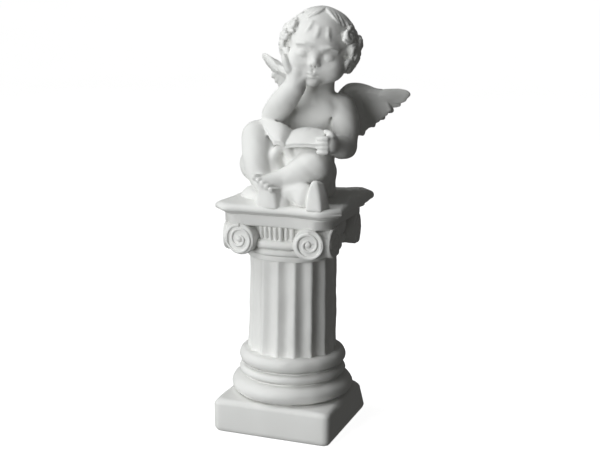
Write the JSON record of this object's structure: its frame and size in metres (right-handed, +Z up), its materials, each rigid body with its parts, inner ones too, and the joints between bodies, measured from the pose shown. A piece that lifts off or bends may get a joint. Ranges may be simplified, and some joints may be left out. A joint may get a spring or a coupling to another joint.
{
  "type": "alabaster statuette",
  "caption": "Alabaster statuette of a winged cherub who sits on a short fluted Ionic column, rests one cheek on a hand and reads an open book.",
  "frame": {"origin": "centre of the plinth's underside, on the surface that the statue stands on", "axes": "+Z up the column, -Y the way the figure faces, +X to the viewer's right"},
  "size_m": [0.0776, 0.0635, 0.2],
  "materials": {
    "alabaster": "white cast alabaster, semi-matte with a faint sheen"
  },
  "bodies": {
    "root": {"angel_statue": "alabaster"}
  },
  "joints": []
}
